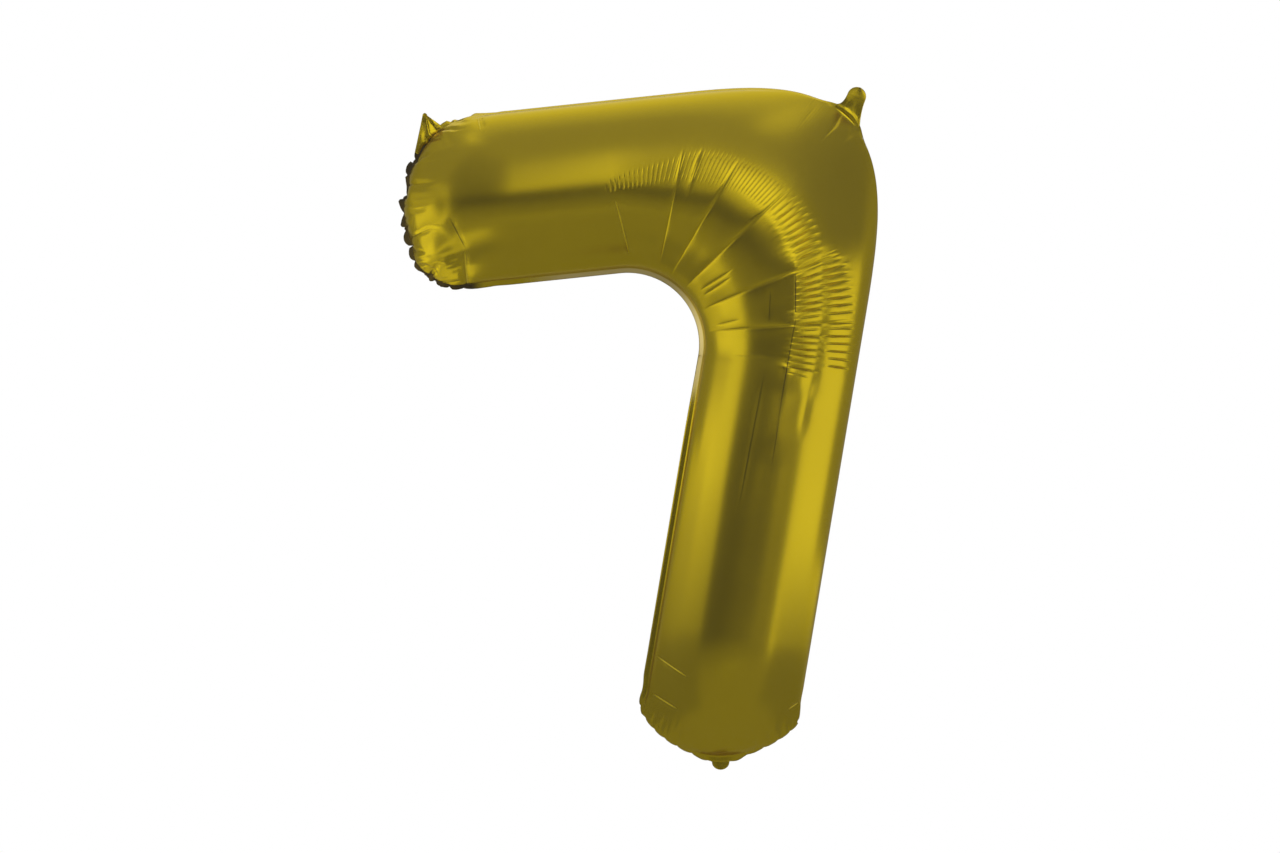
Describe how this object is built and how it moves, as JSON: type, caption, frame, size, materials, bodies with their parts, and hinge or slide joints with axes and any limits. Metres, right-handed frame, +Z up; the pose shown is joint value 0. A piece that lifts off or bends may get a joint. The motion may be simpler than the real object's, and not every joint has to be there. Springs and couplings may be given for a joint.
{
  "type": "foil number balloon",
  "caption": "Inflated metallised film balloon shaped as the figure seven, with a welded edge seam, hanging tabs and a filling tail that leads to a self-sealing film valve.",
  "frame": {"origin": "middle of the front face of the right hanging tab", "axes": "+X to the right as the figure is read, +Y from front to back, +Z up"},
  "size_m": [0.6122, 0.2166, 0.8675],
  "materials": {
    "gold_film": "satin",
    "valve_film": "gloss",
    "sealant": "satin"
  },
  "bodies": {
    "balloon": {"front_panel": "gold_film", "back_panel": "gold_film", "seam_weld": "sealant", "valve_front_ply": "valve_film", "valve_back_ply": "valve_film", "valve_edge_welds": "sealant"},
    "left_tab": {"left_hang_tab": "gold_film"},
    "right_tab": {"right_hang_tab": "gold_film"},
    "tail": {"tail_front_ply": "gold_film", "tail_back_ply": "gold_film"}
  },
  "joints": [
    {"name": "left_tab_fold", "type": "hinge", "parent": "balloon", "child": "left_tab", "pos_m": [-0.54236, 0.0001, -0.04433], "axis": [0.6461, 0, 0.7632], "range_deg": [-100, 100], "stiffness_Nm_per_rad": 0.0015},
    {"name": "right_tab_fold", "type": "hinge", "parent": "balloon", "child": "right_tab", "pos_m": [-0.00647, 0.0001, -0.01587], "axis": [0.742, 0, -0.6704], "range_deg": [-100, 100], "stiffness_Nm_per_rad": 0.0015},
    {"name": "tail_fold", "type": "hinge", "parent": "balloon", "child": "tail", "pos_m": [-0.16982, 0.0001, -0.83775], "axis": [-1, 0, 0.0019], "range_deg": [-100, 100], "stiffness_Nm_per_rad": 0.0001}
  ]
}
